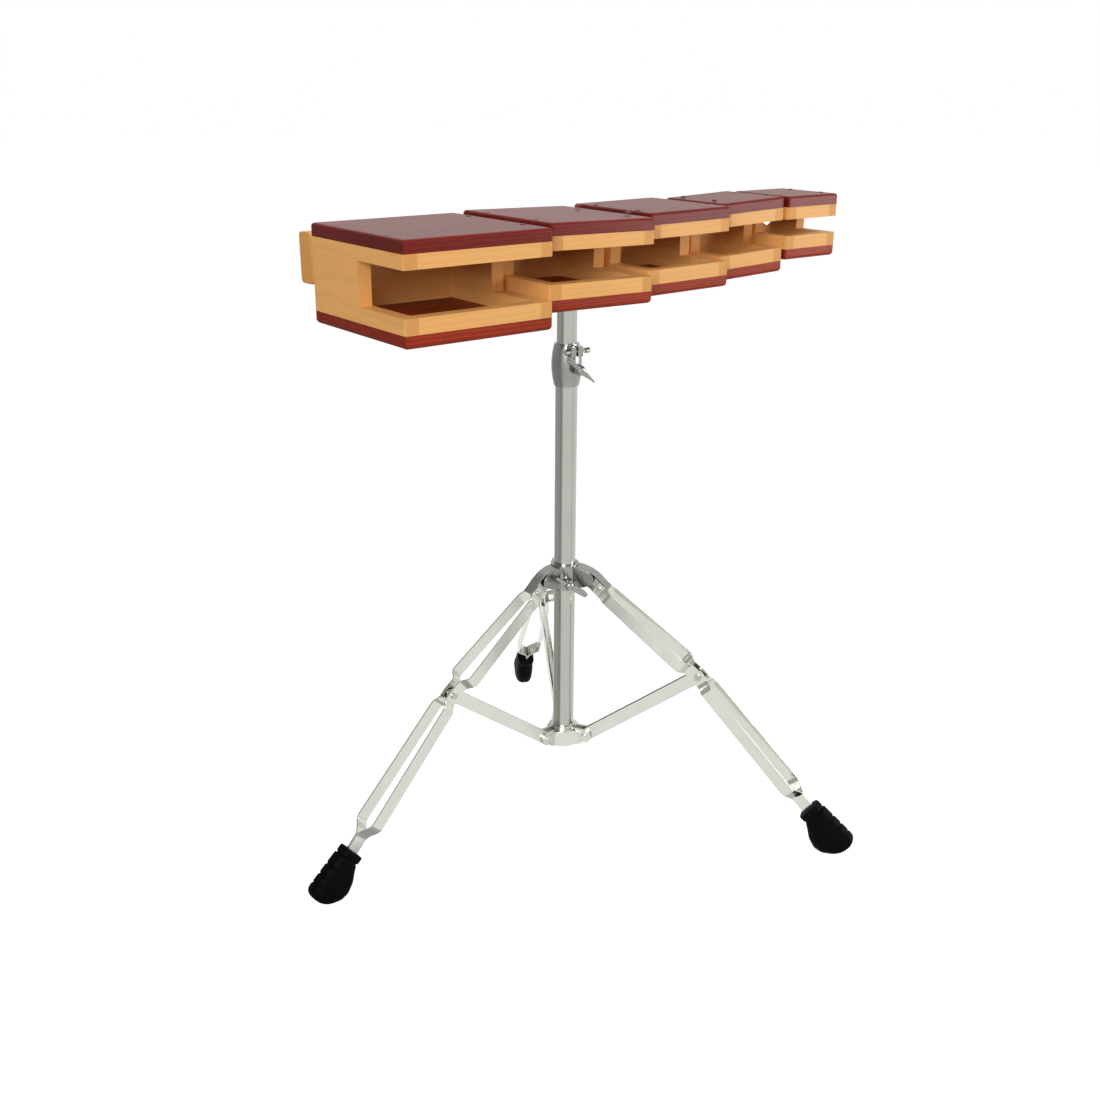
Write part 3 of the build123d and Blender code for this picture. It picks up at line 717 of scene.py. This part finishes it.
# distance along the wing, width, thickness
slim_rings = (
    (-26, 4, 3.4), (-18, 7, 4.2), (-9, 11, 6), (0, 14, 8), (8, 13, 7), (16, 9, 5), (24, 5, 3.6),
    (31, 2.6, 2.6))
fat_rings = (
    (-23, 3.4, 4), (-15, 5.5, 5), (0, 10, 7), (10, 9.4, 8), (20, 9.6, 8.6), (29, 9.2, 8), (31.5, 6.5, 6))
even_rings = (
    (-22, 7, 4), (-16, 9.5, 5), (-8, 10, 6), (0, 11, 7.5), (8, 10, 6), (16, 9.5, 5), (22, 7, 4))
# joint, body and CAD piece of each screw, its wing, and the wing's lean in degrees
wing_screws = (
    ("height_screw_turn", "height_wing", "height_wing_screw", slim_rings, -39),
    ("hub_screw_turn", "hub_wing", "hub_wing_screw", fat_rings, -33),
    ("rail_screw_turn", "rail_wing", "rail_wing_screw", even_rings, 0),
)


def model_wing(name, rings):
    """Lever across the screw: a rounded bar with a turned boss in its middle."""
    bar = stepped_bar(f"{name}_bar", [(0, 0, s * MM, wide * MM, thick * MM) for s, wide, thick in rings])
    settle(bar, rounding=wing_rounding, segments=3, angle=30.0, levels=1)
    bar.data.transform(Matrix.Rotation(pi / 2, 4, "Y"))
    boss = turned(f"{name}_boss", [(radius * MM, height * MM) for radius, height in boss_outline])
    settle(boss, rounding=boss_rounding)
    return join_up(name, [bar, boss])


def screw_frame(joint, lean):
    """Frame of a wing screw: local Z out of the column, local X along the wing."""
    out = Vector(joints[joint]["axis"]).normalized()
    flat = Vector((0, 0, 1)).cross(out).normalized()
    wing = flat * cos(radians(lean)) + Vector((0, 0, 1)) * sin(radians(lean))
    return axes_matrix(joint_place(joint), wing, out.cross(wing))


def add_wing_screws():
    for joint, body, node, rings, lean in wing_screws:
        lever = model_wing(f"{body}_model", rings)
        place = screw_frame(joint, lean) @ Matrix.Translation((0, 0, wing_lift))
        put(lever, f"{node}_lever", place, body, slot_of_node[node], "chrome_castings", node)
        discard(lever)


add_wing_screws()


# ---------------------------------------------------------------- plugs in the playing plates
plug_r, plug_sunk, plug_proud, plug_ease = 3.4 * MM, 2.0 * MM, 0.14 * MM, 0.2 * MM
plug_from_side = 9.5 * MM
plug_share = 0.27                        # of the plate's depth, forward and back of its middle


def add_plugs():
    plug = turned("plug", [(plug_r, -plug_sunk), (plug_r, 0.0), (plug_r - plug_ease, plug_proud)], sides=32)
    settle(plug)
    for block in block_names:
        low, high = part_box(f"{block}_top_plate")
        width, depth = high[0] - low[0], high[1] - low[1]
        middle = ((low[0] + high[0]) / 2, (low[1] + high[1]) / 2)
        copies = []
        for side in (-1, 1):
            for share in (-plug_share, plug_share):
                one = bpy.data.objects.new("plug_copy", plug.data.copy())
                bpy.context.scene.collection.objects.link(one)
                x, y = middle[0] + side * (width / 2 - plug_from_side), middle[1] + share * depth
                one.data.transform(Matrix.Translation((x, y, plate_top(block, x))))
                copies.append(one)
        joined = join_up(f"{block}_plugs_model", copies)
        put(joined, f"{block}_plugs", Matrix.Identity(4), block, "padauk", "plug_wood")
        discard(joined)
    discard(plug)


def plate_top(block, x):
    """Height of the playing face at x, found on the plate itself, which may be turned a little."""
    corners = [vertex.co for vertex in frame["nodes"][f"{block}_top_plate"].data.vertices]
    left = max(corner.z for corner in corners if corner.x < x)
    right = max(corner.z for corner in corners if corner.x >= x)
    return max(left, right)


add_plugs()


# ---------------------------------------------------------------- camera, light, floor
camera_place = (-1.0935, -1.3523, 1.0825)
camera_bearing, camera_tilt, camera_roll = -38.24, 69.13, 0.289
lens, sensor = 41.29, 36.0
floor_size, glow_height = 40.0, 1.5 * MM


def add_camera():
    camera = bpy.data.objects.new("camera", bpy.data.cameras.new("camera"))
    bpy.context.scene.collection.objects.link(camera)
    turn = Matrix.Rotation(radians(camera_bearing), 4, "Z") @ Matrix.Rotation(radians(camera_tilt), 4, "X")
    turn = turn @ Matrix.Rotation(radians(camera_roll), 4, "Z")
    camera.matrix_world = Matrix.Translation(camera_place) @ turn
    camera.data.sensor_width = sensor
    camera.data.lens = lens
    camera.data.clip_start = 0.05
    camera.data.clip_end = 60.0
    bpy.context.scene.camera = camera


def add_soft_box(name, place, target, width, height, power):
    """Rectangular lamp at a place, aimed at a target: sizes in metres, power in watts."""
    lamp = bpy.data.lights.new(name, "AREA")
    lamp.shape = "RECTANGLE"
    lamp.size = width
    lamp.size_y = height
    lamp.energy = power
    holder = bpy.data.objects.new(name, lamp)
    bpy.context.scene.collection.objects.link(holder)
    aim = (Vector(target) - Vector(place)).to_track_quat("-Z", "Y")
    holder.matrix_world = Matrix.Translation(place) @ aim.to_matrix().to_4x4()
    holder.visible_camera = False


def light_world():
    """White room; reflections see its grey screens, and diffuse light comes mostly from above."""
    world = bpy.data.worlds.new("studio")
    bpy.context.scene.world = world
    world.use_nodes = True
    room = Finish(tree=world.node_tree)
    x, y, z = room.split(room.node("ShaderNodeTexCoord", output="Generated"))
    shade = room_shade(room, x, y) * room.spread(z, 0.0, 0.9, 1.0, 0.8)
    glow = room.blend(shade, black, room_white)
    sky = room.spread(z, -0.25, 0.35, 0.06, 0.3)
    camera_ray = room.node("ShaderNodeLightPath", output="Is Camera Ray")
    glossy_ray = room.node("ShaderNodeLightPath", output="Is Glossy Ray")
    soft = room.node("ShaderNodeBackground", sockets={0: white, 1: sky})
    lit = room.node("ShaderNodeBackground", sockets={0: glow, 1: 1.0})
    plain = room.node("ShaderNodeBackground", sockets={0: white, 1: 1.0})
    mixed = room.node("ShaderNodeMixShader", sockets={0: glossy_ray, 1: soft, 2: lit})
    mixed = room.node("ShaderNodeMixShader", sockets={0: camera_ray, 1: mixed, 2: plain})
    end = room.tree.nodes.new("ShaderNodeOutputWorld")
    room.tree.links.new(mixed.source, end.inputs[0])


add_camera()
light_world()
add_soft_box("key", (-2.6, -2.2, 2.0), (-0.1, 0, 0.8), 1.6, 1.6, 78.0)
add_soft_box("right_box", (2.6, -2.3, 1.1), (0.2, -0.1, 0.85), 1.2, 1.4, 58.0)
add_soft_box("top_box", (0.3, 0.3, 3.0), (0, 0, 0.6), 2.6, 2.6, 16.0)
bpy.context.scene.view_settings.view_transform = "Standard"


def add_floor(name, height, finish):
    """A wide level sheet that belongs to the stage."""
    bpy.ops.object.select_all(action="DESELECT")
    bpy.ops.mesh.primitive_plane_add(size=floor_size, location=(0, 0, 0))
    floor = bpy.context.active_object
    floor.name = name
    floor.data.transform(Matrix.Translation((0, 0, height)))
    dress(floor, finishes[finish])
    return floor


add_floor("studio_floor", 0.0, "floor").visible_diffuse = False
glow_sheet = add_floor("glow_sheet", glow_height, "floor_glow")
for ray in ("camera", "diffuse", "shadow", "transmission", "volume_scatter"):
    setattr(glow_sheet, f"visible_{ray}", False)
